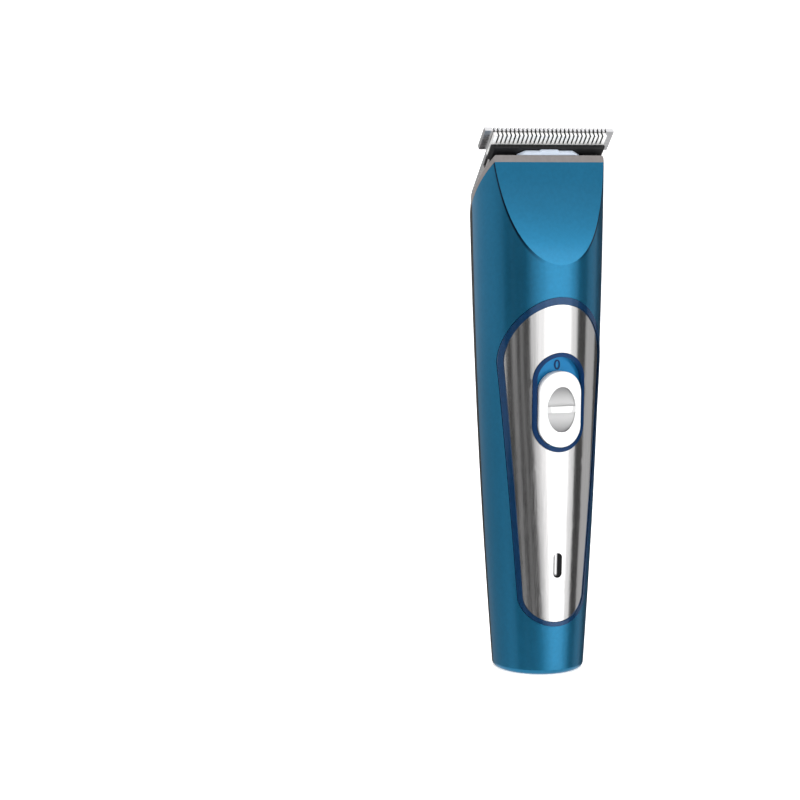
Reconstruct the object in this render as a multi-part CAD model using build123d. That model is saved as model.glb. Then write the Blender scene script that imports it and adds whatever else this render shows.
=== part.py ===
"""Cordless hair clipper with a T-blade, standing on its base.

Frame: millimetres, +Z up along the handle, front (switch side) towards -Y, origin at the middle of the base.
The handle leans back slightly, so most of it is built upright on its own axis and then moved by LEAN.
The cutting head is built on the slanted head plane: u across, v up towards the teeth, w out of the plane.
"""
import os
from math import atan2, cos, degrees, hypot, radians, sin, sqrt
from build123d import *

# Handle
foot_radius = 14.0
waist_radius = 17.85
waist_height = 65.0
shoulder_radius = 20.4
shoulder_height = 150.0
shoulder_back = 4.0
foot_edge_radius = 1.6
wall = 2.2
rear_part_offset = 1.9
seam_gap = 0.1
fit_gap = 0.1

# Reach of cuts past the material they remove
low = -6.0
head_room = 35.7
beyond = 40.0
parting_reach = 60.0
parting_low = -11.0
past = 1.0

# Slanted head plane and the flat facet on the front
head_height = 144.3
head_slope = 45.5
facet_foot_drop = 19.8
facet_top_rise = 10.7
facet_top_front = 6.3
facet_hollow_radius = 120.0

# Panel, its ring, and what sits in it
panel_half_width = 15.5
panel_wide_height = 95.0
panel_top = 112.3
panel_low_half_width = 9.9
panel_low_height = 24.6
panel_bottom = 16.2
ring_side = 1.2
ring_top = 2.2
ring_bottom = 1.4
ring_proud = 0.3
panel_depth = 1.2
panel_seat_gap = 0.08

recess_width = 16.6
recess_centre = 83.1
recess_rim = 1.2
recess_floor = 15.85
recess_floor_thickness = 1.2
rim_proud = 0.3
zero_size = (1.9, 3.0)
zero_stroke = 0.45
zero_drop = 3.7
zero_relief = 0.2

button_width = 13.2
button_length = 22.8
button_travel = 4.0
button_end_gap = 0.3
button_floor_gap = 0.3
button_proud = 1.3
button_edge = 0.6
dish_width = 9.0
dish_length = 13.6
dish_depth = 0.9
ridge_width = 1.9
stem_width = 3.6
stem_length = 9.0
slot_gap = 0.3

lens_width = 2.6
lens_length = 7.4
lens_centre = 33.6
lens_inset = 0.25
lens_led_gap = 0.6

# Circuit board and switch, as distances in front of the handle axis
board_front = 9.4
board_thickness = 1.2
board_half_width = 8.2
board_bottom = 20.5
board_top_gap = 1.5
board_screw_head_radius = 1.8
board_screw_head_height = 1.0
switch_body = (8.6, 4.4, 3.4)
switch_slot_floor = 0.7
actuator_width = 2.0
actuator_length = 2.2
actuator_root = 1.0
actuator_end_gap = 0.2
carriage_front_gap = 0.2
carriage_thickness = 1.1
carriage_width = 9.0
carriage_length = 14.0
led_size = (2.8, 3.5, 1.9)

# Battery
battery_radius = 7.0
battery_length = 49.0
battery_edge = 0.8
battery_end_room = 1.6
battery_gap = 0.5
tab_thickness = 0.3
tab_half_width = 2.0
tab_front = 5.0
tab_back = 3.0
wire_radius = 0.45
wire_hole_gap = 0.3
lead_gap = 1.2
battery_lead_x = 6.0
battery_lead_back = 5.4
battery_lead_rise = 4.8
battery_lead_drop = 6.6
battery_lead_start = (1.5, 2.5)
battery_lead_bend = 1.2
motor_lead_x = 3.0
motor_lead_drop = 9.5
motor_lead_bend = 3.0
socket_lead_x = 1.5
socket_lead_rise = 1.7
socket_lead_gap = 1.15
socket_lead_end = 27.0
socket_lead_bends = (0.8, 2.0)

# Charging socket
socket_radius = 3.4
socket_length = 10.5
socket_forward = 3.8
socket_recess = 0.4
socket_bore_radius = 1.8
socket_bore_depth = 8.0
socket_pin_radius = 0.5
socket_pin_inset = 1.2
socket_back = 0.8

# Inner chassis and motor, on the handle axis
chassis_plate = 1.2
chassis_half_width = 8.0
chassis_wall = 1.8
shelf_reach = 5.0
cradle_wall = 1.5
cradle_floor = 1.5
cradle_gap = 0.05
cradle_drop = 6.0
cradle_hole_radius = 5.0
motor_head_room = 18.8
motor_length = 27.0
motor_radius = 12.0
can_wall = 0.9
boss_radius = 3.4
boss_length = 1.6
bush_radius = 2.2
bush_depth = 2.0
shaft_radius = 1.0
running_gap = 0.03
endcap_thickness = 2.5
endcap_floor = 0.8
magnet_thickness = 1.9
magnet_overhang = 1.5
magnet_gap_half = 4.5
air_gap = 0.6
core_rise = 8.0
core_end_room = 15.0
core_slot = 2.6
core_slot_mouth = 1.2
slot_root = 3.0
pole_tip = 0.9
winding_overhang = 2.2
commutator_radius = 2.6
commutator_length = 3.4
commutator_gap = 0.4
brush_gap = 0.05
brush_half_width = 0.9
brush_length = 3.0
brush_height = 2.2
shaft_foot_gap = 1.0
cam_radius = 4.4
cam_gap = 2.5
cam_length = 4.8
cam_cap = 1.0
pin_radius = 1.0
pin_length = 7.4
pin_end_gap = 0.5
seal_thickness = 1.2
seal_inset = 1.0

# Case screws: each place is (x, height) and both sides have one
case_screw_places = ((12.6, 84.0), (8.6, 9.2))
screw_head_radius = 2.1
screw_head_height = 1.6
screw_radius = 1.0
screw_length = 9.0
screw_seat = 5.4
post_radius = 2.4
post_root = 1.6
counterbore_wall = 1.0
cross_share = 0.62
cross_width = 0.6
cross_depth = 0.9
chassis_screw_heights = (48.0, 72.0)
chassis_screw_x = 6.0

# Cutting head, in head-plane u, v, w
deck_thickness = 1.7
deck_edge = 0.5
lip_depth = 3.0
lip_wall = 1.2
lip_gap = 0.15
tang_half_width = 17.6
tang_straight_end = -4.0
tang_end = -20.2
holder_top = 3.4
neck_half_width = 15.2
neck_back = 4.0
neck_front = 15.4
bar_bottom = 2.9
bar_top = 4.5
bar_half_width = 18.3
bar_back = 12.6
bar_front = 17.6
bar_end_chamfer = 0.8
cutter_bottom = 4.65
cutter_thickness = 1.4
cutter_back = 8.0
cutter_shoulder = 4.0
cutter_tip = 21.1
tooth_count = 27
tooth_pitch = 1.34
tooth_gap = 0.5
end_tooth_shift = 0.15
tooth_root = 17.7
cutter_travel = 1.0
blade_gap = 0.05
blade_thickness = 1.5
blade_head_half_width = 20.75
blade_head_back = 14.0
blade_tip = 21.6
blade_tooth_root = 17.0
blade_tip_thickness = 0.6
blade_bevel_start = 17.8
pocket_gap = 0.4
carrier_half_width = 9.5
carrier_back = -3.5
carrier_front = 12.2
carrier_low = 1.85
carrier_arm_low = 3.0
carrier_step_back = 8.6
lip_plate_top = 2.75
arch_half_width = 10.0
arch_front = 17.3
arch_corner = (2.4, 1.5)
arch_step = 0.45
arch_step_run = 0.6
arch_step_half_width = 3.2
fork_wall = 1.4
fork_gap = 0.15
fork_front = 4.6
fork_back = 3.4
fork_drop = 5.7
peg_radius = 0.8
peg_end_gap = 0.1
peg_u = 6.0
peg_v = 10.2
peg_gap = 0.05
spring_thickness = 0.35
spring_back = -8.6
spring_arm_u = (6.4, 8.6)
spring_arm_end = 5.0
spring_rest_gap = 0.06
blade_screw_u = 9.0
blade_screw_v = -11.0
blade_screw_head_radius = 2.6
blade_screw_head_height = 1.1
blade_screw_radius = 1.25
blade_screw_length = 8.6
driver_slot_width = 0.7
driver_slot_floor = 0.4
driver_slot_half_length = 3.0
screw_post_radius = 2.9
screw_post_depth = 3.2

# Derived places
lean_angle = degrees(atan2(shoulder_back, shoulder_height))
LEAN = Location((0, 0, 0), (-lean_angle, 0, 0))
HEAD = Plane(
    origin=(0, shoulder_back, head_height),
    x_dir=(-1, 0, 0),
    z_dir=(0, sin(radians(head_slope)), cos(radians(head_slope))),
)
REST = Plane.XY
high = head_height + head_room
facet_foot_height = head_height - facet_foot_drop
facet_top = (-facet_top_front, head_height + facet_top_rise)
recess_length = button_length + button_travel + 2 * (recess_rim + button_end_gap)
zero_height = recess_centre + recess_length / 2 - zero_drop
button_bottom = recess_centre - recess_length / 2 + recess_rim + button_end_gap
button_centre = button_bottom + button_length / 2
actuator_centre = button_centre
carriage_front = recess_floor - recess_floor_thickness - carriage_front_gap
actuator_reach = carriage_front - actuator_end_gap
lens_inner_end = board_front + led_size[2] + lens_led_gap
motor_top = head_height - motor_head_room
motor_bottom = motor_top - motor_length
motor_lead_height = motor_bottom - motor_lead_drop
core_bottom = motor_bottom + core_rise
core_top = motor_top - core_end_room + core_rise
cam_bottom = motor_top + boss_length + cam_gap
cam_top = cam_bottom + cam_length
fork_bottom = head_height - fork_drop
fork_half_gap = pin_radius + 2 * cutter_travel + fork_gap
board_back = board_front - board_thickness
board_top = motor_bottom - cradle_floor - board_top_gap
socket_top = socket_recess + socket_length
socket_lead_height = socket_top + socket_lead_rise
chassis_bottom = socket_lead_height + wire_radius + socket_lead_gap
battery_bottom = chassis_bottom + chassis_wall + battery_end_room
battery_top = battery_bottom + battery_length
battery_back = battery_radius + battery_gap + chassis_plate - board_back
battery_lead_heights = (battery_bottom + battery_lead_rise, battery_top - battery_lead_drop)
blade_bottom = cutter_bottom + cutter_thickness + blade_gap
blade_top = blade_bottom + blade_thickness


def handle_radius(height):
    """Radius of the handle about its own axis, from the arc through foot, waist and shoulder."""
    (x1, y1), (x2, y2), (x3, y3) = (
        (foot_radius, 0.0),
        (waist_radius, waist_height),
        (shoulder_radius, shoulder_height),
    )
    d = 2 * (x1 * (y2 - y3) + x2 * (y3 - y1) + x3 * (y1 - y2))
    s1, s2, s3 = x1**2 + y1**2, x2**2 + y2**2, x3**2 + y3**2
    cx = (s1 * (y2 - y3) + s2 * (y3 - y1) + s3 * (y1 - y2)) / d
    cy = (s1 * (x3 - x2) + s2 * (x1 - x3) + s3 * (x2 - x1)) / d
    reach = hypot(x1 - cx, y1 - cy)
    return cx + sqrt(reach**2 - (height - cy) ** 2)


def turned(inset, bottom=low, top=high):
    """Solid of revolution that lies `inset` inside the handle's skin, on the handle axis."""
    middle = (bottom + top) / 2
    start = (handle_radius(bottom) - inset, bottom)
    end = (handle_radius(top) - inset, top)
    side = ThreePointArc(start, (handle_radius(middle) - inset, middle), end)
    outline = Curve() + [side, Polyline(end, (0, top), (0, bottom), start)]
    return Rot(0, 0, 90) * revolve(make_face(Plane.XZ * outline), Axis.Z)


def facet_scoop(inset):
    """Large cylinder that hollows the front of the head, grown by `inset` into the body."""
    foot_y = shoulder_back * facet_foot_height / shoulder_height - handle_radius(facet_foot_height)
    top_y, top_z = facet_top
    chord = hypot(top_y - foot_y, top_z - facet_foot_height)
    along_y, along_z = (top_y - foot_y) / chord, (top_z - facet_foot_height) / chord
    reach = sqrt(facet_hollow_radius**2 - (chord / 2) ** 2)
    centre_y = (foot_y + top_y) / 2 - along_z * reach
    centre_z = (facet_foot_height + top_z) / 2 + along_y * reach
    return Pos(0, centre_y, centre_z) * Rot(0, 90, 0) * Cylinder(facet_hollow_radius + inset, 2 * beyond)


def envelope(inset):
    """The handle's body in place, `inset` inside its skin, with the facet cut but open at both ends."""
    return LEAN * turned(inset) - facet_scoop(inset)


def block(x0, x1, y0, y1, z0, z1):
    """Box between two corners."""
    size = (x1 - x0, y1 - y0, z1 - z0)
    return Pos((x0 + x1) / 2, (y0 + y1) / 2, (z0 + z1) / 2) * Box(*size)


def rod(radius, bottom, top, x=0.0, y=0.0):
    """Upright cylinder between two heights."""
    return Pos(x, y, (bottom + top) / 2) * Cylinder(radius, top - bottom)


def pipe(outer, inner, bottom, top, x=0.0, y=0.0):
    """Upright tube between two heights."""
    return rod(outer, bottom, top, x, y) - rod(inner, bottom - past, top + past, x, y)


def forward_rod(radius, x, height, back, front):
    """Cylinder along the front-to-back direction, between two places on Y."""
    turn = Pos(x, (back + front) / 2, height) * Rot(90, 0, 0)
    return turn * Cylinder(radius, abs(back - front))


def oval(width, length, height):
    """Stadium outline, upright, centred on the handle's front at a height."""
    return Pos(0, height) * Rot(0, 0, 90) * SlotOverall(length, width)


def forward(sketch, near, far):
    """Outline drawn on X and Z, made solid from y = -near to y = -far on the handle axis."""
    return extrude(Plane.XZ.offset(near) * sketch, far - near)


def head_block(u0, u1, v0, v1, w0, w1):
    """Box in head-plane u, v, w."""
    return HEAD * block(u0, u1, v0, v1, w0, w1)


def head_rod(radius, u, v, w0, w1):
    """Cylinder standing on the head plane."""
    return HEAD * rod(radius, w0, w1, u, v)


def head_plate(sketch, w0, w1):
    """Outline in u and v, made solid between two levels of w."""
    return extrude(HEAD.offset(w0) * sketch, w1 - w0)


def head_profile(sketch, v0, v1):
    """Outline in u and w, made solid between two places on v."""
    across = Plane(origin=HEAD.origin, x_dir=HEAD.x_dir, z_dir=-HEAD.y_dir)
    return extrude(across.offset(-v1) * sketch, v1 - v0)


# Casing


def panel_outline(side, top, bottom):
    """Rounded shield outline of the panel, grown by the three margins."""
    wide = panel_half_width + side
    narrow = panel_low_half_width + side
    rise = panel_top - panel_wide_height + top
    drop = panel_low_height - panel_bottom + bottom
    crown = EllipticalCenterArc((0, panel_wide_height), wide, rise, arc_size=180)
    cup = EllipticalCenterArc((0, panel_low_height), narrow, drop, start_angle=180, arc_size=180)
    left = Line((-wide, panel_wide_height), (-narrow, panel_low_height))
    right = Line((narrow, panel_low_height), (wide, panel_wide_height))
    return make_face(Curve() + [crown, left, cup, right])


def shell_halves():
    """Front and rear shells, before their posts and openings."""
    body = split(envelope(0), bisect_by=HEAD, keep=Keep.BOTTOM)
    body = split(body, bisect_by=REST, keep=Keep.TOP)
    foot_edge = body.edges().sort_by(Axis.Z)[0]
    body = fillet(foot_edge, foot_edge_radius)
    hollow = split(envelope(wall), bisect_by=REST.offset(wall), keep=Keep.TOP)
    skin = body - hollow
    parting = LEAN * block(-beyond, beyond, rear_part_offset, parting_reach, parting_low, high)
    parting_front = LEAN * block(-beyond, beyond, -parting_reach, rear_part_offset - seam_gap, parting_low, high)
    return skin & parting_front, skin & parting


def screw_posts(front):
    """Posts that take the case screws, in the front or the rear shell."""
    posts = Part()
    for x_place, height in case_screw_places:
        for x in (-x_place, x_place):
            if front:
                front_end = rear_part_offset - seam_gap
                post = forward_rod(post_radius, x, height, front_end, -handle_radius(height))
            else:
                outer = screw_head_radius + fit_gap * 2 + counterbore_wall
                post = forward_rod(outer, x, height, rear_part_offset, handle_radius(height))
            posts += post
    return LEAN * (posts & turned(post_root))


def screw_holes(front):
    """Pilot holes in the front posts, or clearance holes and counterbores in the rear ones."""
    holes = Part()
    for x_place, height in case_screw_places:
        for x in (-x_place, x_place):
            if front:
                holes += forward_rod(screw_radius, x, height, rear_part_offset, screw_seat - screw_length)
            else:
                holes += forward_rod(screw_radius + fit_gap, x, height, 0, screw_seat + past)
                holes += forward_rod(screw_head_radius + fit_gap * 2, x, height, screw_seat, beyond)
    return LEAN * holes


def make_front_shell(front_half):
    """Blue front shell, with the seat for the panel and its ring."""
    seat = forward(panel_outline(ring_side + fit_gap, ring_top + fit_gap, ring_bottom + fit_gap), 0, beyond)
    seat_floor = turned(panel_depth)
    opening = forward(oval(recess_width + 2 * fit_gap, recess_length + 2 * fit_gap, recess_centre), 0, beyond)
    lens_hole = forward(oval(lens_width + 2 * fit_gap, lens_length + 2 * fit_gap, lens_centre), 0, beyond)
    socket_hole = rod(socket_radius + fit_gap, low, wall + 2, 0, -socket_forward)
    shell = front_half - LEAN * (seat - seat_floor)
    shell += screw_posts(True)
    shell -= LEAN * opening
    shell -= LEAN * lens_hole
    shell -= LEAN * socket_hole
    return shell - screw_holes(True)


def make_rear_shell(rear_half):
    """Black rear shell."""
    return rear_half + screw_posts(False) - screw_holes(False)


def make_panel_bezel():
    """Blue ring that frames the silver panel and stands a little proud of the shell."""
    outer = forward(panel_outline(ring_side, ring_top, ring_bottom), 0, beyond)
    inner = forward(panel_outline(fit_gap, fit_gap, fit_gap), 0, beyond)
    return LEAN * ((outer - inner) & (turned(-ring_proud) - turned(panel_depth - panel_seat_gap)))


def make_silver_panel():
    """Metallised panel, with openings for the switch and the indicator lens."""
    panel = forward(panel_outline(0, 0, 0), 0, beyond) & (turned(0) - turned(panel_depth - panel_seat_gap))
    panel -= forward(oval(recess_width + 2 * fit_gap, recess_length + 2 * fit_gap, recess_centre), 0, beyond)
    panel -= forward(oval(lens_width + 2 * fit_gap, lens_length + 2 * fit_gap, lens_centre), 0, beyond)
    return LEAN * panel


def make_switch_bezel():
    """Blue tub round the switch button, with a raised zero at its top end."""
    floor_back = recess_floor - recess_floor_thickness
    tub = forward(oval(recess_width, recess_length, recess_centre), floor_back, beyond) & turned(-rim_proud)
    inner = oval(recess_width - 2 * recess_rim, recess_length - 2 * recess_rim, recess_centre)
    tub -= forward(inner, recess_floor, beyond)
    slot = oval(stem_width + 2 * slot_gap, stem_length + button_travel + 2 * slot_gap, 0)
    tub -= Pos(0, 0, button_centre + button_travel / 2) * forward(slot, floor_back - past, beyond)
    wide, tall = zero_size
    digit = Ellipse(wide / 2, tall / 2) - Ellipse(wide / 2 - zero_stroke, tall / 2 - zero_stroke)
    tub += forward(Pos(0, zero_height) * digit, recess_floor, recess_floor + zero_relief)
    return LEAN * tub


def make_led_lens():
    """Clear lens that carries the indicator's light to the panel."""
    lens = forward(oval(lens_width, lens_length, lens_centre), lens_inner_end, beyond)
    return LEAN * (lens & turned(lens_inset))


def make_case_screws():
    """Four screws from the rear."""
    screws = Part()
    for x_place, height in case_screw_places:
        for x in (-x_place, x_place):
            screw = forward_rod(screw_radius, x, height, screw_seat, screw_seat - screw_length)
            screw += forward_rod(screw_head_radius, x, height, screw_seat, screw_seat + screw_head_height)
            screws += screw - cross_slot(x, height, screw_seat + screw_head_height)
    return LEAN * screws


def cross_slot(x, height, face):
    """Cross recess in a screw head that faces the rear."""
    arm = screw_head_radius * cross_share
    half = cross_width / 2
    floor = face - cross_depth
    flat = block(x - arm, x + arm, floor, face + past, height - half, height + half)
    upright = block(x - half, x + half, floor, face + past, height - arm, height + arm)
    return flat + upright


# Switch and electronics


def make_switch_button():
    """White button with a dished thumb pad and a ridge across it."""
    bottom = recess_floor + button_floor_gap
    pad = forward(oval(button_width, button_length, button_centre), bottom, beyond) & turned(-button_proud)
    outer_face = pad.faces().sort_by(Axis.Y)[0]
    pad = fillet(outer_face.edges(), button_edge)
    top = handle_radius(button_centre) + button_proud
    dish = forward(Pos(0, button_centre) * Ellipse(dish_width / 2, dish_length / 2), top - dish_depth, beyond)
    half_ridge = ridge_width / 2
    ridge = block(-dish_width, dish_width, -beyond, 0, button_centre - half_ridge, button_centre + half_ridge)
    stem = forward(oval(stem_width, stem_length, button_centre), carriage_front, bottom)
    return LEAN * (pad - (dish - ridge) + stem)


def make_switch_carriage():
    """Slider behind the tub floor that carries the switch's actuator along."""
    plate = block(
        -carriage_width / 2,
        carriage_width / 2,
        -carriage_front,
        -carriage_front + carriage_thickness,
        button_centre - carriage_length / 2,
        button_centre + carriage_length / 2,
    )
    window = actuator_block(fit_gap / 2, 0, beyond)
    return LEAN * (plate - window)


def actuator_block(gap, near, far):
    """The actuator's own section, grown by a gap."""
    half_w = actuator_width / 2 + gap
    half_l = actuator_length / 2 + gap
    return block(-half_w, half_w, -far, -near, actuator_centre - half_l, actuator_centre + half_l)


def make_switch_actuator():
    """Lever of the slide switch."""
    return LEAN * actuator_block(0, board_front + actuator_root, actuator_reach)


def make_slide_switch():
    """Slide switch soldered to the board, with a slot for its actuator's travel."""
    width, margin, tall = switch_body
    bottom = actuator_centre - actuator_length / 2 - margin / 2
    top = actuator_centre + actuator_length / 2 + button_travel + margin / 2
    body = block(-width / 2, width / 2, -board_front - tall, -board_front, bottom, top)
    half = actuator_width / 2 + slot_gap
    low_end = actuator_centre - actuator_length / 2 - slot_gap
    high_end = actuator_centre + actuator_length / 2 + button_travel + slot_gap
    return LEAN * (body - block(-half, half, -beyond, -board_front - switch_slot_floor, low_end, high_end))


def make_circuit_board():
    """Board behind the front shell."""
    board = block(-board_half_width, board_half_width, -board_front, -board_back, board_bottom, board_top)
    for height in chassis_screw_heights:
        for x in (-chassis_screw_x, chassis_screw_x):
            board -= forward_rod(screw_radius + fit_gap, x, height, 0, -beyond)
    return LEAN * board


def make_chassis_screws():
    """Screws that hold the board to the chassis."""
    screws = Part()
    head_front = -board_front - board_screw_head_height
    for height in chassis_screw_heights:
        for x in (-chassis_screw_x, chassis_screw_x):
            screws += forward_rod(screw_radius, x, height, -board_front, -board_back + chassis_plate)
            screws += forward_rod(board_screw_head_radius, x, height, head_front, -board_front)
    return LEAN * screws


def make_indicator_led():
    """Surface-mounted indicator under the lens."""
    width, tall, thick = led_size
    bottom = lens_centre - tall / 2
    return LEAN * block(-width / 2, width / 2, -board_front - thick, -board_front, bottom, bottom + tall)


def make_charging_socket():
    """Barrel socket in the base."""
    bore_top = socket_recess + socket_bore_depth
    socket = rod(socket_radius, socket_recess, socket_top, 0, -socket_forward)
    socket -= rod(socket_bore_radius, socket_recess - past, bore_top, 0, -socket_forward)
    socket -= rod(socket_pin_radius, socket_recess, socket_top - socket_back, 0, -socket_forward)
    return LEAN * socket


def make_socket_pin():
    """Centre contact of the socket."""
    bottom = socket_recess + socket_pin_inset
    pin = rod(socket_pin_radius, bottom, socket_top - socket_back, 0, -socket_forward)
    return LEAN * pin


def make_battery_cell():
    """Round lithium cell."""
    cell = rod(battery_radius, battery_bottom, battery_top, 0, battery_back)
    edges = cell.edges().filter_by(GeomType.CIRCLE)
    return LEAN * fillet(edges, battery_edge)


def make_battery_tabs():
    """Nickel tabs welded to both ends of the cell."""
    tabs = Part()
    for level in (battery_bottom - tab_thickness, battery_top):
        front, back = battery_back - tab_front, battery_back + tab_back
        tabs += block(-tab_half_width, tab_half_width, front, back, level, level + tab_thickness)
    return LEAN * tabs


def wire(points, radii):
    """Round wire along straight runs with rounded corners."""
    path = FilletPolyline(*points, radius=radii)
    start = Plane(origin=path @ 0, z_dir=path % 0)
    return sweep(start * Circle(wire_radius), path)


# Chassis and motor


def make_inner_chassis():
    """Carrier for the board, the battery and the motor."""
    plate_front = -board_back
    plate_back = plate_front + chassis_plate
    half = chassis_half_width
    shelf_back = battery_back + shelf_reach
    cradle_outer = motor_radius + cradle_gap + cradle_wall
    shelf_low = motor_bottom - cradle_floor
    chassis = block(-half, half, plate_front, plate_back, chassis_bottom, motor_bottom)
    chassis += block(-half, half, plate_front, shelf_back, chassis_bottom, chassis_bottom + chassis_wall)
    ledge = battery_top + tab_thickness + lead_gap
    chassis += block(-half, half, plate_front, shelf_back, ledge, ledge + chassis_wall)
    chassis += rod(cradle_outer, shelf_low, motor_top - cradle_drop)
    chassis -= rod(motor_radius + cradle_gap, motor_bottom, motor_top)
    chassis -= rod(cradle_hole_radius, shelf_low - past, motor_bottom + past)
    for height in chassis_screw_heights:
        for x in (-chassis_screw_x, chassis_screw_x):
            chassis -= forward_rod(screw_radius, x, height, plate_front, plate_back)
    for x, height in lead_holes():
        chassis -= forward_rod(wire_radius + wire_hole_gap, x, height, plate_front - past, plate_back + past)
    return LEAN * chassis


def make_motor_can():
    """Steel can, open at the bottom, with a boss for the upper bush."""
    can = rod(motor_radius, motor_bottom, motor_top) + rod(boss_radius, motor_top, motor_top + boss_length)
    can -= rod(motor_radius - can_wall, motor_bottom - past, motor_top - can_wall)
    can -= rod(bush_radius, motor_bottom, motor_top + boss_length + past)
    return LEAN * can


def make_motor_endcap():
    """Plastic end cap that closes the can and holds the lower bush."""
    cap = rod(motor_radius - can_wall, motor_bottom, motor_bottom + endcap_thickness)
    cap -= rod(bush_radius, motor_bottom + endcap_floor, motor_bottom + endcap_thickness + past)
    return LEAN * cap


def make_motor_magnets():
    """Two arc magnets inside the can."""
    outer = motor_radius - can_wall - cradle_gap
    bottom, top = core_bottom - magnet_overhang, core_top + magnet_overhang
    ring = pipe(outer, outer - magnet_thickness, bottom, top)
    gap = block(-magnet_gap_half, magnet_gap_half, -beyond, beyond, bottom - past, top + past)
    return LEAN * (ring - gap)


def make_shaft_bushes():
    """Sintered bushes at both ends of the motor."""
    bore = shaft_radius + running_gap
    bushes = pipe(bush_radius, bore, motor_top - bush_depth, motor_top + boss_length)
    bushes += pipe(bush_radius, bore, motor_bottom + endcap_floor, motor_bottom + endcap_thickness)
    return LEAN * bushes


def make_motor_brushes():
    """Carbon brushes either side of the commutator."""
    near = commutator_radius + brush_gap
    bottom = motor_bottom + endcap_thickness
    half = brush_half_width
    brush = block(-half, half, near, near + brush_length, bottom, bottom + brush_height)
    return LEAN * (brush + Rot(0, 0, 180) * brush)


def core_outer_radius():
    """Radius of the armature, one air gap inside the magnets."""
    return motor_radius - can_wall - magnet_thickness - air_gap


def core_slots(bottom, top):
    """Three slots between the armature's poles, at 120 degrees."""
    outer = core_outer_radius() - pole_tip
    half = core_slot / 2
    slots = Part()
    for turn in (90, 210, 330):
        slots += Rot(0, 0, turn) * block(slot_root, outer, -half, half, bottom, top)
    return slots


def make_armature_core():
    """Laminated three-pole core."""
    bottom, top = core_bottom - past, core_top + past
    half = core_slot_mouth / 2
    core = pipe(core_outer_radius(), shaft_radius, core_bottom, core_top)
    for turn in (90, 210, 330):
        core -= Rot(0, 0, turn) * block(slot_root, motor_radius, -half, half, bottom, top)
    return LEAN * (core - core_slots(bottom, top))


def make_armature_windings():
    """Copper windings through the slots and round both ends of the core."""
    outer = core_outer_radius() - pole_tip
    coils = core_slots(core_bottom, core_top)
    coils += pipe(outer, slot_root, core_bottom - winding_overhang, core_bottom)
    coils += pipe(outer, slot_root, core_top, core_top + winding_overhang)
    return LEAN * coils


def make_commutator():
    """Commutator on the shaft below the core."""
    bottom = motor_bottom + endcap_thickness + commutator_gap
    return LEAN * pipe(commutator_radius, shaft_radius, bottom, bottom + commutator_length)


def make_motor_shaft():
    """Motor shaft, up into the cam."""
    return LEAN * rod(shaft_radius, motor_bottom + shaft_foot_gap, cam_top - cam_cap)


def make_eccentric_cam():
    """Cam pressed on the shaft, with its drive pin off centre."""
    cam = rod(cam_radius, cam_bottom, cam_top) - rod(shaft_radius, cam_bottom - past, cam_top - cam_cap)
    return LEAN * (cam + rod(pin_radius, cam_top, cam_top + pin_length, cutter_travel, 0))


def make_dust_seal():
    """Felt ring round the motor's boss, on top of the can."""
    return LEAN * pipe(motor_radius - seal_inset, boss_radius, motor_top, motor_top + seal_thickness)


# Cutting head


def tang_outline(front, inset=0.0):
    """U-shaped outline of the tang, from its round end up to a straight front."""
    half = tang_half_width - inset
    drop = tang_straight_end - tang_end
    bend = EllipticalCenterArc((0, tang_straight_end), half, drop, start_angle=180, arc_size=180)
    sides = Polyline((half, tang_straight_end), (half, front), (-half, front), (-half, tang_straight_end))
    return make_face(Curve() + [bend, sides])


def deck_window():
    """Opening for the carrier's fork, with room for its travel."""
    half = fork_half_gap + fork_wall + cutter_travel + pocket_gap
    return LEAN * block(-half, half, -fork_front - pocket_gap, fork_back + pocket_gap, low, high)


def blade_screw_set(radius, w0, w1):
    """The same cylinder at both blade screws."""
    places = Part()
    for u in (-blade_screw_u, blade_screw_u):
        places += head_rod(radius, u, blade_screw_v, w0, w1)
    return places


def make_collar():
    """Grey collar: a deck across the handle's slanted end, with a lip down inside the shells."""
    across = Rectangle(2 * beyond, 2 * beyond)
    deck = envelope(0) & head_plate(across, 0, deck_thickness)
    top_edges = deck.faces().sort_by(Axis(HEAD.origin, HEAD.z_dir))[-1].edges()
    deck = fillet(top_edges, deck_edge)
    lip = envelope(wall + lip_gap) & head_plate(across, -lip_depth, 0)
    lip -= envelope(wall + lip_gap + lip_wall) & head_plate(across, -lip_depth - past, 0)
    collar = deck + lip + blade_screw_set(screw_post_radius, -screw_post_depth, 0)
    collar -= deck_window()
    return collar - blade_screw_set(blade_screw_radius, -screw_post_depth - past, deck_thickness + past)


def carrier_pocket(w0, w1, front):
    """Room for the carrier and its travel."""
    half = carrier_half_width + cutter_travel + pocket_gap
    return head_block(-half, half, spring_back - pocket_gap, front, w0, w1)


def neck_profile():
    """The neck across u and w, flared with a hollow round up to the bar."""
    flare = bar_bottom - deck_thickness
    wide = neck_half_width + flare
    right = CenterArc((wide, deck_thickness), flare, 180, -90)
    left = CenterArc((-wide, deck_thickness), flare, 90, -90)
    base = Line((-neck_half_width, deck_thickness), (neck_half_width, deck_thickness))
    top = Line((wide, bar_bottom), (-wide, bar_bottom))
    return make_face(Curve() + [base, right, top, left])


def bar_profile():
    """The bar under the teeth across u and w, with its lower ends chamfered."""
    inner = bar_half_width - bar_end_chamfer
    shoulder = bar_bottom + bar_end_chamfer
    outline = Polyline(
        (-inner, bar_bottom),
        (inner, bar_bottom),
        (bar_half_width, shoulder),
        (bar_half_width, bar_top),
        (-bar_half_width, bar_top),
        (-bar_half_width, shoulder),
        close=True,
    )
    return make_face(outline)


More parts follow.
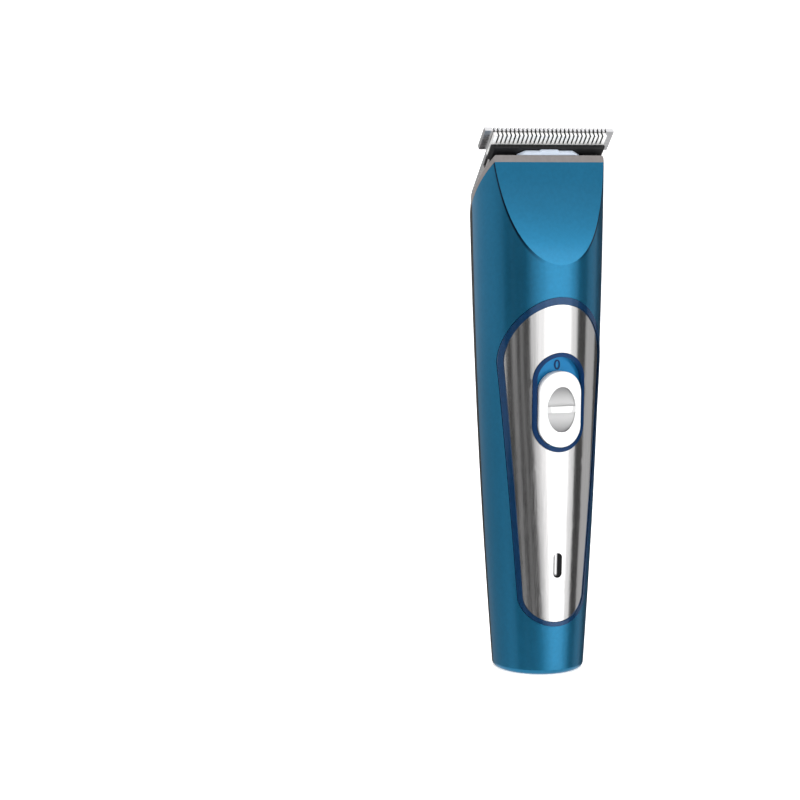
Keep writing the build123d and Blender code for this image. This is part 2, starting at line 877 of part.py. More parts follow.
def make_blade_holder():
    """Black holder: tang plate, neck and the bar under the teeth."""
    plate = head_plate(tang_outline(bar_back - pocket_gap), deck_thickness, holder_top)
    neck = head_profile(neck_profile(), neck_back, neck_front)
    bar = head_profile(bar_profile(), bar_back, bar_front)
    holder = plate + neck + bar
    mouth = arch_half_width + cutter_travel + pocket_gap
    holder -= head_block(-mouth, mouth, neck_back, neck_front + past, deck_thickness - past, bar_bottom)
    holder -= carrier_pocket(deck_thickness - past, bar_bottom, carrier_front)
    holder -= carrier_pocket(bar_bottom, holder_top + past, bar_back)
    return holder - blade_screw_set(blade_screw_radius + fit_gap, 0, beyond)


def make_blade_seat():
    """Grey seat that lifts the fixed blade above the cutter's back edge."""
    low_part = head_plate(tang_outline(bar_back - pocket_gap), holder_top, bar_top)
    high_part = head_plate(tang_outline(cutter_back - pocket_gap), bar_top, blade_bottom)
    seat = low_part + high_part - carrier_pocket(holder_top - past, blade_bottom + past, bar_back + past)
    return seat - blade_screw_set(blade_screw_radius + fit_gap, 0, beyond)


def tooth_gaps(root, w0, w1, tip):
    """The gaps of one row of teeth."""
    cuts = Part()
    first = -(tooth_count - 2) / 2
    for index in range(tooth_count - 1):
        u = (first + index) * tooth_pitch
        cuts += head_block(u - tooth_gap / 2, u + tooth_gap / 2, root, tip, w0, w1)
    return cuts


def make_moving_blade():
    """Steel cutter with its row of teeth."""
    top = cutter_bottom + cutter_thickness
    half = tooth_count * tooth_pitch / 2
    blade = head_block(-half, half, bar_back, cutter_tip, cutter_bottom, top)
    narrow = half - cutter_shoulder
    blade += head_block(-narrow, narrow, cutter_back, bar_back, cutter_bottom, top)
    blade -= tooth_gaps(tooth_root, cutter_bottom - past, top + past, cutter_tip + past)
    for u in (-peg_u, peg_u):
        blade -= head_rod(peg_radius + peg_gap, u, peg_v, 0, beyond)
    return blade


def make_fixed_blade():
    """Steel T-blade: a toothed head and a U-shaped tang."""
    half = blade_head_half_width
    blade = head_block(-half, half, blade_head_back, blade_tip, blade_bottom, blade_top)
    blade += head_plate(tang_outline(blade_head_back), blade_bottom, blade_top)
    run = blade_tip - blade_bevel_start
    rise = blade_thickness - blade_tip_thickness
    end = run + past
    wedge = Polyline((0, 0), (end, 0), (end, -rise * end / run), close=True)
    corner = HEAD.from_local_coords((0, blade_bevel_start, blade_top))
    side = Plane(origin=corner, x_dir=HEAD.y_dir, z_dir=-HEAD.x_dir)
    blade -= extrude(side * make_face(wedge), beyond, both=True)
    blade -= tooth_gaps(blade_tooth_root, blade_bottom - past, blade_top + past, blade_tip + past)
    edge = tooth_count * tooth_pitch / 2 + end_tooth_shift
    for u in (-edge, edge - tooth_gap):
        gap = (u, u + tooth_gap, blade_tooth_root, blade_tip + past)
        blade -= head_block(*gap, blade_bottom - past, blade_top + past)
    return blade - blade_screw_set(blade_screw_radius + fit_gap, 0, beyond)


def make_cutter_carrier():
    """White nylon carrier under the cutter, with the fork for the drive pin and a front lip."""
    wide = carrier_half_width
    body = head_block(-wide, wide, carrier_back, carrier_front, carrier_arm_low, cutter_bottom)
    body += head_block(-wide, wide, carrier_step_back, carrier_front, carrier_low, cutter_bottom)
    body += head_plate(arch_outline(), carrier_low, lip_plate_top)
    half = fork_half_gap + fork_wall
    prongs = LEAN * block(-half, half, -fork_front, fork_back, fork_bottom, high)
    body += split(prongs, bisect_by=HEAD.offset(cutter_bottom), keep=Keep.BOTTOM)
    slot_top = cam_top + pin_length + pin_end_gap
    body -= LEAN * block(-fork_half_gap, fork_half_gap, -beyond, beyond, fork_bottom - past, slot_top)
    peg_top = cutter_bottom + cutter_thickness - peg_end_gap
    for u in (-peg_u, peg_u):
        body += head_rod(peg_radius, u, peg_v, carrier_arm_low, peg_top)
    return body


def arch_outline():
    """The carrier's front lip: sloping corners, and a small step forward in the middle."""
    shoulder = arch_front - arch_step
    run, rise = arch_corner
    half = [
        (arch_step_half_width - arch_step_run, arch_front),
        (arch_step_half_width, shoulder),
        (arch_half_width - run, shoulder),
        (arch_half_width, shoulder - rise),
        (arch_half_width, carrier_step_back),
    ]
    mirrored = [(-u, v) for u, v in reversed(half)]
    return make_face(Polyline(*mirrored, *half, close=True))


def make_tension_spring():
    """Leaf spring whose two arms press the carrier, and so the cutter, against the fixed blade."""
    near, far = spring_arm_u
    base_top = deck_thickness + spring_thickness
    base_front = carrier_back - pocket_gap
    spring = head_block(-far, far, spring_back, base_front, deck_thickness, base_top)
    rise = carrier_arm_low - spring_rest_gap - base_top
    reach = spring_arm_end - base_front
    tilt = degrees(atan2(rise, reach))
    arm = HEAD * Pos(0, base_front, base_top) * Rot(tilt, 0, 0)
    for u0, u1 in ((-far, -near), (near, far)):
        spring += arm * block(u0, u1, -spring_thickness, hypot(rise, reach), -spring_thickness, 0)
    return split(spring, bisect_by=HEAD.offset(deck_thickness), keep=Keep.TOP)


def make_blade_screws():
    """Two screws through blade, seat and holder into the collar."""
    screws = blade_screw_set(blade_screw_head_radius, blade_top, blade_top + blade_screw_head_height)
    screws += blade_screw_set(blade_screw_radius, blade_top - blade_screw_length, blade_top)
    v0, v1 = blade_screw_v - driver_slot_width / 2, blade_screw_v + driver_slot_width / 2
    for u in (-blade_screw_u, blade_screw_u):
        u0, u1 = u - driver_slot_half_length, u + driver_slot_half_length
        screws -= head_block(u0, u1, v0, v1, blade_top + driver_slot_floor, blade_top + beyond)
    return screws


def lead_holes():
    """Places in x and height where leads pass through the chassis."""
    low_height, high_height = battery_lead_heights
    holes = [(battery_lead_x, low_height), (-battery_lead_x, high_height)]
    return holes + [(motor_lead_x, motor_lead_height), (-motor_lead_x, motor_lead_height)]


def make_battery_leads():
    """Two leads from the cell's tabs to the board."""
    off_tab = tab_thickness + wire_radius
    levels = (battery_bottom - off_tab, battery_top + off_tab)
    start_x, start_forward = battery_lead_start
    leads = Part()
    for side, level, height in zip((1, -1), levels, battery_lead_heights):
        x = side * battery_lead_x
        start = (side * start_x, -start_forward, level)
        corner = (x, -battery_lead_back, level)
        turn = (x, -battery_lead_back, height)
        leads += wire([start, corner, turn, (x, -board_back, height)], [battery_lead_bend] * 2)
    return LEAN * leads


def make_motor_leads():
    """Two leads from the motor's end cap to the board."""
    leads = Part()
    for x in (-motor_lead_x, motor_lead_x):
        points = [(x, 0, motor_bottom), (x, 0, motor_lead_height), (x, -board_back, motor_lead_height)]
        leads += wire(points, [motor_lead_bend])
    return LEAN * leads


def make_socket_leads():
    """Two leads from the socket, up in front of the board."""
    front = -board_front - wire_radius
    leads = Part()
    for x in (-socket_lead_x, socket_lead_x):
        points = [
            (x, -socket_forward, socket_top),
            (x, -socket_forward, socket_lead_height),
            (x, front, socket_lead_height),
            (x, front, socket_lead_end),
        ]
        leads += wire(points, socket_lead_bends)
    return LEAN * leads


def main():
    """Build every sub-part and write one STEP file for each."""
    front_half, rear_half = shell_halves()
    parts = {
        "front_shell": make_front_shell(front_half),
        "rear_shell": make_rear_shell(rear_half),
        "panel_bezel": make_panel_bezel(),
        "silver_panel": make_silver_panel(),
        "switch_bezel": make_switch_bezel(),
        "led_lens": make_led_lens(),
        "collar": make_collar(),
        "case_screws": make_case_screws(),
        "blade_holder": make_blade_holder(),
        "blade_seat": make_blade_seat(),
        "fixed_blade": make_fixed_blade(),
        "moving_blade": make_moving_blade(),
        "cutter_carrier": make_cutter_carrier(),
        "tension_spring": make_tension_spring(),
        "blade_screws": make_blade_screws(),
        "switch_button": make_switch_button(),
        "switch_carriage": make_switch_carriage(),
        "switch_actuator": make_switch_actuator(),
        "slide_switch": make_slide_switch(),
        "circuit_board": make_circuit_board(),
        "indicator_led": make_indicator_led(),
        "chassis_screws": make_chassis_screws(),
        "charging_socket": make_charging_socket(),
        "socket_pin": make_socket_pin(),
        "battery_cell": make_battery_cell(),
        "battery_tabs": make_battery_tabs(),
        "battery_leads": make_battery_leads(),
        "motor_leads": make_motor_leads(),
        "socket_leads": make_socket_leads(),
        "inner_chassis": make_inner_chassis(),
        "motor_can": make_motor_can(),
        "motor_endcap": make_motor_endcap(),
        "motor_magnets": make_motor_magnets(),
        "motor_brushes": make_motor_brushes(),
        "shaft_bushes": make_shaft_bushes(),
        "armature_core": make_armature_core(),
        "armature_windings": make_armature_windings(),
        "commutator": make_commutator(),
        "motor_shaft": make_motor_shaft(),
        "eccentric_cam": make_eccentric_cam(),
        "dust_seal": make_dust_seal(),
    }
    os.makedirs("parts", exist_ok=True)
    for name, shape in parts.items():
        export_step(shape, f"parts/{name}.step")


main()
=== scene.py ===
"""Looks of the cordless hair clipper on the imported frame: materials, studio and camera.

Every visible piece is a CAD node. Most masks in the materials use object coordinates turned upright
onto the handle's own axis and given in millimetres: x across, y to the back, z up.
"""
from math import atan2, cos, pi, radians, sin

import bpy
from mathutils import Matrix, Vector

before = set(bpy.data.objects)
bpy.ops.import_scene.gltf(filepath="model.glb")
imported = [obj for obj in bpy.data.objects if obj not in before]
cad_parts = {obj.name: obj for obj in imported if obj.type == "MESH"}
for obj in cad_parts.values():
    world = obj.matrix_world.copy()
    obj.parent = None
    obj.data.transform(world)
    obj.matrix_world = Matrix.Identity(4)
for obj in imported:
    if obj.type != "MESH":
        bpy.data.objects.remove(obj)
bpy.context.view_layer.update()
MM = 0.001

# The handle leans back by this much, in metres, at this height: the same as the CAD's
shoulder_back = 4.0 * MM
shoulder_height = 150.0 * MM
lean = atan2(shoulder_back, shoulder_height)

# Masks, in millimetres on the handle's axis. A pair is the span over which a mask fades
button_height = 81.1
dish_half_width = 4.6
dish_half_height = 6.9
dish_level = -19.55
dish_depth = 1.0
# Span, out from the ridge, over which the painted shade in the dish grows to full
dish_shade_fade = (1.0, 6.0)
tub_floor_edge = (-15.97, -15.93)
tooth_foot_height = 159.9
fixed_teeth_half_width = 18.3
cutter_teeth_half_width = 17.9
# Lens: the edges of its painted highlight stripe, then the fades of its painted shadow at the side and
# at the foot
lens_highlight_left_edge = (-0.95, -0.75)
lens_highlight_right_edge = (-0.35, -0.2)
lens_shadow_side = (-0.3, 0.0)
lens_shadow_foot = (30.4, 31.2)
# Painted shade line along the facet's crease: its fade in and fade out past the hollow's edge, and its
# fade towards the middle
shade_line_inner_edge = (0.03, 0.06)
shade_line_outer_edge = (0.3, 0.6)
shade_line_ends = (5.0, 13.0)

# Hollow facet: y and z of its cylinder's axis, in metres, and its radius in millimetres
facet_centre = (-0.124108, 0.177831)
facet_hollow_radius = 120.0

# A face looks along an axis when its normal's share of that axis is above this
facing_limit = 0.7

# Camera, in metres, with its lens and sensor in millimetres
camera_distance = 0.6
camera_height = 0.150
camera_azimuth = radians(-22.4)
camera_aim = Vector((0, shoulder_back, 0.082))
camera_lens = 88.0
camera_sensor = 36.0
camera_clip = 0.01
camera_turn = radians(3.96)

# Round floor, in metres
floor_flat_radius = 1.5
floor_inner_radii = (0.01, 0.5)
floor_bend = 0.5
floor_top = 2.4
floor_bend_steps = 16
floor_sides = 96
floor_glow = 0.58

# World: brightness below and at eye level, and the heights on the unit sphere where it changes
world_below = 0.9
world_level = 0.05
world_fade = (-0.45, -0.36)

# About the angle of one flat face in a card of the light tent, in degrees
card_step = 3


# Materials


class Shader:
    """One Principled material with small helpers for its procedural inputs."""

    def __init__(self, name, color, roughness, metallic=0.0, **sockets):
        self.material = bpy.data.materials.new(name)
        self.material.use_nodes = True
        self.tree = self.material.node_tree
        self.shader = self.tree.nodes["Principled BSDF"]
        self.shader.inputs["Base Color"].default_value = (*color, 1)
        self.shader.inputs["Roughness"].default_value = roughness
        self.shader.inputs["Metallic"].default_value = metallic
        for key, value in sockets.items():
            self.shader.inputs[key.replace("_", " ")].default_value = value
        self.color = color
        self.roughness = roughness

    def node(self, kind, **settings):
        """New shader node with the given settings."""
        made = self.tree.nodes.new(kind)
        for key, value in settings.items():
            setattr(made, key, value)
        return made

    def link(self, source, target):
        """Join an output socket to an input socket."""
        self.tree.links.new(source, target)

    def position(self, scale):
        """Object coordinates, scaled."""
        place = self.node("ShaderNodeTexCoord")
        mapping = self.node("ShaderNodeMapping")
        mapping.inputs["Scale"].default_value = scale
        self.link(place.outputs["Object"], mapping.inputs["Vector"])
        return mapping.outputs["Vector"]

    def noise(self, scale, detail, stretch):
        """Noise over the object coordinates."""
        made = self.node("ShaderNodeTexNoise")
        made.inputs["Scale"].default_value = scale
        made.inputs["Detail"].default_value = detail
        self.link(self.position(stretch), made.inputs["Vector"])
        return made.outputs["Fac"]

    def ramp(self, value, low, high, start=0.3, end=0.7):
        """Value mapped from start..end to low..high."""
        made = self.node("ShaderNodeMapRange")
        made.inputs["From Min"].default_value = start
        made.inputs["From Max"].default_value = end
        made.inputs["To Min"].default_value = low
        made.inputs["To Max"].default_value = high
        self.link(value, made.inputs["Value"])
        return made.outputs["Result"]

    def mix(self, factor, first, second):
        """Colour between two others."""
        made = self.node("ShaderNodeMix", data_type="RGBA")
        made.inputs["A"].default_value = (*first, 1)
        made.inputs["B"].default_value = (*second, 1)
        self.link(factor, made.inputs["Factor"])
        return made.outputs["Result"]

    def handle_place(self):
        """Object position on the handle's own axis, in millimetres, as separate x, y and z."""
        place = self.node("ShaderNodeTexCoord")
        upright = self.node("ShaderNodeVectorRotate", rotation_type="X_AXIS")
        upright.inputs["Angle"].default_value = lean
        self.link(place.outputs["Object"], upright.inputs["Vector"])
        sized = self.node("ShaderNodeVectorMath", operation="SCALE")
        sized.inputs["Scale"].default_value = 1 / MM
        self.link(upright.outputs["Vector"], sized.inputs[0])
        parts = self.node("ShaderNodeSeparateXYZ")
        self.link(sized.outputs["Vector"], parts.inputs["Vector"])
        return parts.outputs["X"], parts.outputs["Y"], parts.outputs["Z"]

    def facet_shade_line(self):
        """1 on a thin line of the skin along both upper sides of the hollow facet, where shade is
        painted along the crease.
        """
        place = self.node("ShaderNodeTexCoord")
        away = self.node("ShaderNodeVectorMath", operation="SUBTRACT")
        away.inputs[1].default_value = (0, facet_centre[0], facet_centre[1])
        flat = self.node("ShaderNodeVectorMath", operation="MULTIPLY")
        flat.inputs[1].default_value = (0, 1 / MM, 1 / MM)
        length = self.node("ShaderNodeVectorMath", operation="LENGTH")
        self.link(place.outputs["Object"], away.inputs[0])
        self.link(away.outputs["Vector"], flat.inputs[0])
        self.link(flat.outputs["Vector"], length.inputs[0])
        past_edge = self.math("SUBTRACT", length.outputs["Value"], facet_hollow_radius)
        inner = self.ramp(past_edge, 0, 1, *shade_line_inner_edge)
        outer = self.ramp(past_edge, 1, 0, *shade_line_outer_edge)
        side = self.ramp(self.math("ABSOLUTE", self.handle_place()[0]), 0, 1, *shade_line_ends)
        return self.product(inner, outer, side)

    def facing(self, axis):
        """1 on the faces that look along an object axis, to either side."""
        place = self.node("ShaderNodeTexCoord")
        parts = self.node("ShaderNodeSeparateXYZ")
        self.link(place.outputs["Normal"], parts.inputs["Vector"])
        return self.math("GREATER_THAN", self.math("ABSOLUTE", parts.outputs[axis]), facing_limit)

    def product(self, *factors):
        """All the factors multiplied."""
        result = factors[0]
        for factor in factors[1:]:
            result = self.math("MULTIPLY", result, factor)
        return result

    def math(self, operation, first, second=0.0):
        """Arithmetic on two values, each a number or a socket."""
        made = self.node("ShaderNodeMath", operation=operation)
        for socket, value in zip(made.inputs, (first, second)):
            if isinstance(value, (int, float)):
                socket.default_value = value
            else:
                self.link(value, socket)
        return made.outputs["Value"]

    def blend(self, factor, color):
        """Lay another colour over the base colour where the factor is 1."""
        socket = self.shader.inputs["Base Color"]
        made = self.node("ShaderNodeMix", data_type="RGBA")
        made.inputs["A"].default_value = socket.default_value
        if socket.links:
            self.link(socket.links[0].from_socket, made.inputs["A"])
        made.inputs["B"].default_value = (*color, 1)
        self.link(factor, made.inputs["Factor"])
        self.link(made.outputs["Result"], socket)
        return self

    def painted_tooth_shade(self, half_width):
        """Paint shade on the side walls of the teeth, out to a half width in millimetres."""
        x, _, z = self.handle_place()
        within = self.math("LESS_THAN", self.math("ABSOLUTE", x), half_width)
        above = self.math("GREATER_THAN", z, tooth_foot_height)
        # Painted shade: near black on the teeth's side walls, above their foot
        return self.blend(self.product(self.facing("X"), within, above), (0.01, 0.01, 0.011))

    def vary(self, scale, amount, stretch=(1, 1, 1)):
        """Colour varies gently round its mean."""
        value = self.ramp(self.noise(scale, 3.0, stretch), 0.0, 1.0)
        dark = [c * (1 - amount) for c in self.color]
        light = [min(1.0, c * (1 + amount)) for c in self.color]
        self.link(self.mix(value, dark, light), self.shader.inputs["Base Color"])
        return self

    def rough(self, scale, amount, stretch=(1, 1, 1)):
        """Roughness varies round its mean."""
        low, high = max(0.0, self.roughness - amount), min(1.0, self.roughness + amount)
        value = self.ramp(self.noise(scale, 4.0, stretch), low, high)
        self.link(value, self.shader.inputs["Roughness"])
        return self

    def bump(self, scale, strength, distance, stretch=(1, 1, 1)):
        """Fine surface relief."""
        made = self.node("ShaderNodeBump")
        made.inputs["Strength"].default_value = strength
        made.inputs["Distance"].default_value = distance
        self.link(self.noise(scale, 4.0, stretch), made.inputs["Height"])
        self.link(made.outputs["Normal"], self.shader.inputs["Normal"])
        return self

    def glow(self, strength):
        """Surface gives off white light."""
        self.shader.inputs["Emission Color"].default_value = (1, 1, 1, 1)
        self.shader.inputs["Emission Strength"].default_value = strength
        return self


def blue_paint():
    """Pearl blue metallic paint under clear lacquer, with a painted shade line along the facet's
    crease.
    """
    s = Shader("blue_paint", (0.020, 0.212, 0.40), 0.31, 0.9, Coat_Weight=0.25, Coat_Roughness=0.12)
    s.vary(900, 0.05).rough(60, 0.02).bump(2500, 0.04, 0.00001)
    # Painted shade: a thin near-black navy line along both upper sides of the facet
    return s.blend(s.facet_shade_line(), (0.002, 0.010, 0.030)).material


def black_plastic(name="black_plastic", roughness=0.34):
    """Black moulded plastic with a fine grain."""
    s = Shader(name, (0.008, 0.008, 0.009), roughness, Specular_IOR_Level=0.25)
    return s.vary(200, 0.2).rough(300, 0.06).bump(2600, 0.12, 0.00003).material


def metallised():
    """Vacuum-metallised film with a faint vertical grain."""
    s = Shader("metallised_panel", (0.82, 0.81, 0.81), 0.16, 1.0)
    return s.vary(500, 0.04, (6, 6, 0.05)).rough(900, 0.05, (6, 6, 0.03)).material


def ring_paint():
    """Glossy navy lacquer of the ring round the panel."""
    s = Shader("blue_ring", (0.004, 0.045, 0.13), 0.2, 0.5, Coat_Weight=0.4, Coat_Roughness=0.05)
    return s.vary(500, 0.10).rough(200, 0.03).material


def tub_plastic():
    """Navy rim of the switch tub, with a bright blue floor."""
    s = Shader("blue_tub", (0.004, 0.032, 0.11), 0.2, 0.3, Specular_IOR_Level=0.25)
    s.vary(400, 0.08).rough(300, 0.04)
    _, y, _ = s.handle_place()
    return s.blend(s.ramp(y, 0, 1, *tub_floor_edge), (0.012, 0.22, 0.50)).material


def collar_plastic(name="grey_plastic", color=(0.27, 0.25, 0.245)):
    """Warm grey plastic with a slight metallic sheen."""
    s = Shader(name, color, 0.38, 0.35)
    return s.vary(700, 0.06).rough(400, 0.05).bump(3000, 0.06, 0.00002).material


def ground_steel():
    """Steel with grinding lines across the blade, and painted shade on the walls between its teeth."""
    s = Shader("blade_steel", (0.50, 0.50, 0.51), 0.28, 1.0)
    s.vary(600, 0.06, (0.1, 5, 5)).rough(900, 0.08, (0.08, 6, 6))
    s.bump(1500, 0.05, 0.00001, (0.05, 4, 4))
    return s.painted_tooth_shade(fixed_teeth_half_width).material


def plain_metal(name, color, roughness=0.3):
    """Bare metal, slightly uneven."""
    s = Shader(name, color, roughness, 1.0)
    return s.vary(500, 0.08).rough(700, 0.06).material


def moulded(name, color, roughness=0.4):
    """Plain moulded plastic, or another dull solid."""
    s = Shader(name, color, roughness)
    return s.vary(300, 0.05).rough(400, 0.06).bump(2200, 0.08, 0.00002).material


def lens_plastic():
    """Opaque lens with a painted highlight along its left side and painted shadow to the right and at
    the foot.
    """
    s = Shader("clear_lens", (0.30, 0.30, 0.31), 0.12, 0.0, Specular_IOR_Level=0.08)
    s.vary(300, 0.04).rough(300, 0.03)
    x, _, z = s.handle_place()
    # Painted highlight: a light grey stripe down the lens's left side
    stripe = s.product(s.ramp(x, 0, 1, *lens_highlight_left_edge), s.ramp(x, 1, 0, *lens_highlight_right_edge))
    s.blend(stripe, (0.85, 0.85, 0.86))
    # Painted shadow: near black to the right and at the foot
    side = s.ramp(x, 0, 1, *lens_shadow_side)
    foot = s.ramp(z, 1, 0, *lens_shadow_foot)
    return s.blend(s.math("MAXIMUM", side, foot), (0.008, 0.008, 0.009)).material


def button_plastic():
    """White plastic with painted shade: grey in the dish, paler towards its ridge, and near black on
    the ridge's sides.
    """
    s = Shader("white_plastic", (0.93, 0.93, 0.93), 0.22)
    s.vary(300, 0.02).rough(400, 0.05)
    x, y, z = s.handle_place()
    up = s.math("SUBTRACT", z, button_height)
    across = s.math("POWER", s.math("DIVIDE", x, dish_half_width), 2)
    along = s.math("POWER", s.math("DIVIDE", up, dish_half_height), 2)
    inside = s.math("LESS_THAN", s.math("ADD", across, along), 1)
    sunk = s.math("GREATER_THAN", y, dish_level)
    ahead = s.math("LESS_THAN", y, dish_level + dish_depth)
    # Painted shade: the dish is greyed, less so near its ridge
    dish_shade_strength = s.ramp(s.math("ABSOLUTE", up), 0.45, 1.0, *dish_shade_fade)
    s.blend(s.product(inside, dish_shade_strength, sunk, ahead), (0.30, 0.30, 0.305))
    # Painted shade: near black on the faces within the dish's outline that look up or down
    return s.blend(s.product(s.facing("Z"), inside), (0.06, 0.06, 0.065)).material


def satin_cutter():
    """Bright satin steel of the cutter, with painted shade on the walls between its teeth."""
    s = Shader("cutter_steel", (0.93, 0.93, 0.92), 0.3, 0.25)
    return s.vary(500, 0.02).rough(500, 0.05).painted_tooth_shade(cutter_teeth_half_width).material


NODE_MATERIALS = {
    "front_shell": blue_paint,
    "rear_shell": black_plastic,
    "silver_panel": metallised,
    "panel_bezel": ring_paint,
    "switch_bezel": tub_plastic,
    "led_lens": lens_plastic,
    "collar": collar_plastic,
    "case_screws": lambda: plain_metal("zinc_screws", (0.80, 0.80, 0.82)),
    "blade_holder": lambda: black_plastic("black_head", 0.42),
    "blade_seat": lambda: collar_plastic("grey_seat", (0.33, 0.32, 0.32)),
    "fixed_blade": ground_steel,
    "moving_blade": satin_cutter,
    "cutter_carrier": lambda: moulded("white_nylon", (0.62, 0.69, 0.80), 0.35),
    "tension_spring": lambda: plain_metal("spring_steel", (0.5, 0.5, 0.52)),
    "blade_screws": lambda: plain_metal("blade_screw_steel", (0.36, 0.36, 0.37)),
    "switch_button": button_plastic,
    "switch_carriage": lambda: moulded("black_acetal", (0.02, 0.02, 0.02)),
    "switch_actuator": lambda: moulded("black_lever", (0.03, 0.03, 0.03)),
    "slide_switch": lambda: plain_metal("switch_can", (0.6, 0.6, 0.58)),
    "circuit_board": lambda: moulded("green_board", (0.02, 0.14, 0.05), 0.3),
    "indicator_led": lambda: moulded("led_body", (0.75, 0.65, 0.35), 0.25),
    "chassis_screws": lambda: plain_metal("small_screws", (0.5, 0.5, 0.52)),
    "charging_socket": lambda: moulded("socket_plastic", (0.015, 0.015, 0.016)),
    "socket_pin": lambda: plain_metal("socket_contact", (0.75, 0.62, 0.35)),
    "battery_cell": lambda: moulded("cell_sleeve", (0.03, 0.16, 0.35), 0.25),
    "battery_tabs": lambda: plain_metal("nickel_tabs", (0.65, 0.63, 0.58)),
    "battery_leads": lambda: moulded("lead_sleeve_battery", (0.45, 0.02, 0.02), 0.5),
    "motor_leads": lambda: moulded("lead_sleeve_motor", (0.02, 0.02, 0.02), 0.5),
    "socket_leads": lambda: moulded("lead_sleeve_socket", (0.45, 0.35, 0.03), 0.5),
    "inner_chassis": lambda: moulded("white_chassis", (0.6, 0.6, 0.57)),
    "motor_can": lambda: plain_metal("can_steel", (0.6, 0.6, 0.6)),
    "motor_endcap": lambda: moulded("endcap_plastic", (0.62, 0.6, 0.55)),
    "motor_magnets": lambda: moulded("ferrite", (0.05, 0.05, 0.055), 0.6),
    "motor_brushes": lambda: moulded("carbon", (0.02, 0.02, 0.02), 0.7),
    "shaft_bushes": lambda: plain_metal("bronze_bush", (0.55, 0.35, 0.18), 0.45),
    "armature_core": lambda: plain_metal("core_steel", (0.3, 0.3, 0.32), 0.4),
    "armature_windings": lambda: plain_metal("copper_wire", (0.65, 0.28, 0.12), 0.35),
    "commutator": lambda: plain_metal("commutator_copper", (0.7, 0.38, 0.2), 0.25),
    "motor_shaft": lambda: plain_metal("shaft_steel", (0.7, 0.7, 0.72), 0.2),
    "eccentric_cam": lambda: plain_metal("cam_steel", (0.6, 0.6, 0.62), 0.25),
    "dust_seal": lambda: moulded("felt", (0.18, 0.17, 0.16), 0.95),
}


def paint_nodes():
    """Every CAD node gets its procedural material."""
    for name, make in NODE_MATERIALS.items():
        material = make()
        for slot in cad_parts[name].material_slots:
            slot.material = material


# Studio


def card(name, start, end, lower, upper, glow, foot_shift=(0, 0)):
    """Glowing card of the light tent, between two (radius, height) rings.

    Angles are degrees from the camera's side, positive to the right. The foot shift moves both ends of
    the lower ring, for a slanting card.
    """
    steps = max(2, int(abs(end - start) / card_step))
    verts = []
    for i in range(steps + 1):
        t = i / steps
        for (radius, z), (near, far) in ((lower, foot_shift), (upper, (0, 0))):
            a = camera_azimuth + radians((start + near) * (1 - t) + (end + far) * t)
            verts.append((sin(a) * radius, -cos(a) * radius, z))
    faces = [(2 * i, 2 * i + 2, 2 * i + 3, 2 * i + 1) for i in range(steps)]
    mesh = bpy.data.meshes.new(name)
    mesh.from_pydata(verts, [], faces)
    mesh.materials.append(Shader(name, (0, 0, 0), 1.0).glow(glow).material)
    made = bpy.data.objects.new(name, mesh)
    made.visible_camera = False
    made.visible_shadow = False
    bpy.context.scene.collection.objects.link(made)


def make_floor():
    """Round pale floor that curves up into a backdrop on every side."""
    profile = [(radius, 0.0) for radius in (*floor_inner_radii, floor_flat_radius)]
    for i in range(1, floor_bend_steps + 1):
        a = pi / 2 * i / floor_bend_steps
        profile.append((floor_flat_radius + floor_bend * sin(a), floor_bend * (1 - cos(a))))
    profile.append((floor_flat_radius + floor_bend, floor_top))
    turns = [2 * pi * k / floor_sides for k in range(floor_sides)]
    verts = [(radius * cos(a), radius * sin(a), z) for radius, z in profile for a in turns]
    faces = [tuple(range(floor_sides))]
    for i in range(len(profile) - 1):
        inner, outer = i * floor_sides, (i + 1) * floor_sides
        for k in range(floor_sides):
            after = (k + 1) % floor_sides
            faces.append((inner + k, inner + after, outer + after, outer + k))
    mesh = bpy.data.meshes.new("floor")
    mesh.from_pydata(verts, [], faces)
    for face in mesh.polygons:
        face.use_smooth = True
    floor = bpy.data.objects.new("floor", mesh)
    s = Shader("floor_paper", (0.85, 0.85, 0.85), 0.8, Specular_IOR_Level=0.1)
    mesh.materials.append(s.glow(floor_glow).vary(4, 0.01).material)
    floor.visible_glossy = False
    bpy.context.scene.collection.objects.link(floor)


def make_world():
    """Dim surroundings at eye level, bright below."""
    world = bpy.data.worlds.new("studio")
    world.use_nodes = True
    tree = world.node_tree
    place = tree.nodes.new("ShaderNodeTexCoord")
    parts = tree.nodes.new("ShaderNodeSeparateXYZ")
    fade = tree.nodes.new("ShaderNodeMapRange")
    tree.links.new(place.outputs["Generated"], parts.inputs["Vector"])
    tree.links.new(parts.outputs["Z"], fade.inputs["Value"])
    fade.inputs["From Min"].default_value, fade.inputs["From Max"].default_value = world_fade
    fade.inputs["To Min"].default_value = world_below
    fade.inputs["To Max"].default_value = world_level
    background = tree.nodes["Background"]
    background.inputs["Color"].default_value = (1, 1, 1, 1)
    tree.links.new(fade.outputs["Result"], background.inputs["Strength"])
    bpy.context.scene.world = world
    bpy.context.scene.view_settings.view_transform = "Standard"


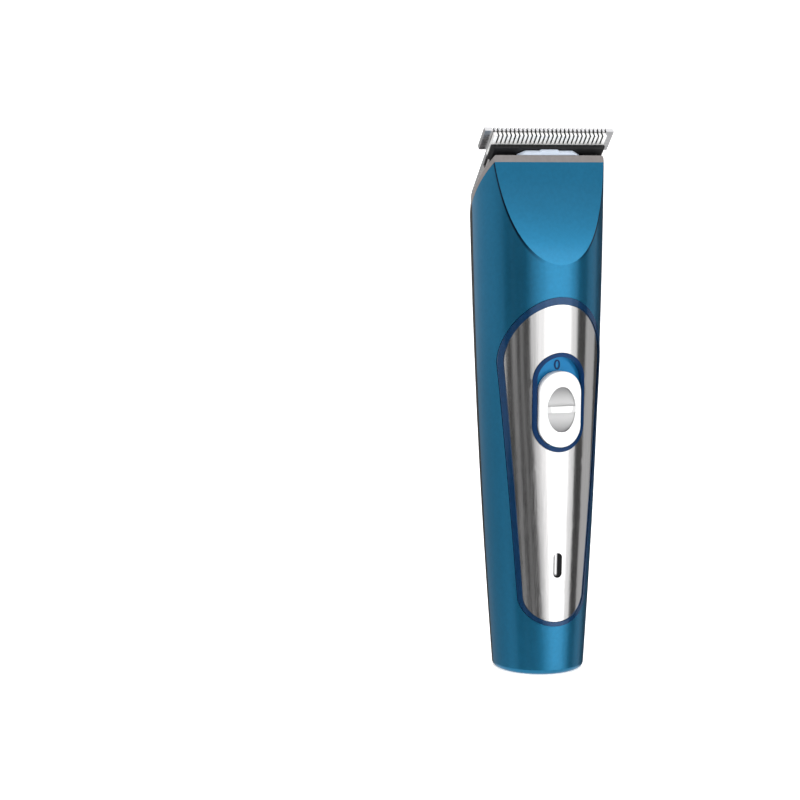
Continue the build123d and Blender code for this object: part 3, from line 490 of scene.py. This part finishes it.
# Light tent round the object, with gaps that stay dark: (name, from, to, glow, shift of its foot),
# with angles in degrees from the camera's side
TENT = (
    ("key_near", -12, 0, 0.7, (38, 32)),
    ("key_rise", 0, 15, 1.05, (32, 22)),
    ("key", 15, 64, 1.6, (22, 0)),
    ("key_fall", 64, 78, 0.85, (0, 0)),
    ("rim", 100, 130, 0.42, (0, 0)),
    ("back", 208, 285, 0.55, (0, 0)),
    ("edge_light", -75, -58, 0.45, (0, 12)),
    ("left_mid", -46, -37, 0.24, (24, 24)),
    ("near_stripe", -29.5, -24.5, 0.22, (30, 30)),
)
# The foot of the back card glows less than its top, by this factor
back_foot_dimming = 0.6
# Rings of the tent, as (radius, height) in metres: its foot, its fold and its top
foot_ring = (1.2, -0.5)
fold_ring = (1.2, -0.05)
eye_ring = (1.2, 0.42)
# Dome over the tent: the rings between its bands, and each band's (name, glow)
DOME_RINGS = (eye_ring, (1.15, 0.70), (1.0, 0.98), (0.62, 1.25), (0.02, 1.32))
DOME = (("dome_low", 0.30), ("dome_mid", 0.62), ("dome_high", 2.1), ("dome_top", 1.6))


def make_lights():
    """Cards all round, and a dome that brightens upwards."""
    for name, start, end, glow, shift in TENT:
        card(name, start, end, fold_ring, eye_ring, glow)
        foot_glow = glow * back_foot_dimming if name == "back" else glow
        card(name + "_foot", start, end, foot_ring, fold_ring, foot_glow, shift)
    for (name, glow), lower, upper in zip(DOME, DOME_RINGS, DOME_RINGS[1:]):
        card(name, 0, 360, lower, upper, glow)


def make_camera():
    """Camera that was fitted to the photograph."""
    data = bpy.data.cameras.new("camera")
    data.lens = camera_lens
    data.sensor_width = camera_sensor
    data.clip_start = camera_clip
    camera = bpy.data.objects.new("camera", data)
    side = Vector((sin(camera_azimuth), -cos(camera_azimuth), 0)) * camera_distance
    camera.location = Vector((side.x, side.y + shoulder_back, camera_height))
    forward = (camera_aim - camera.location).normalized()
    forward = Matrix.Rotation(camera_turn, 3, "Z") @ forward
    camera.rotation_mode = "QUATERNION"
    camera.rotation_quaternion = forward.to_track_quat("-Z", "Y")
    bpy.context.scene.collection.objects.link(camera)
    bpy.context.scene.camera = camera


paint_nodes()
make_floor()
make_world()
make_lights()
make_camera()
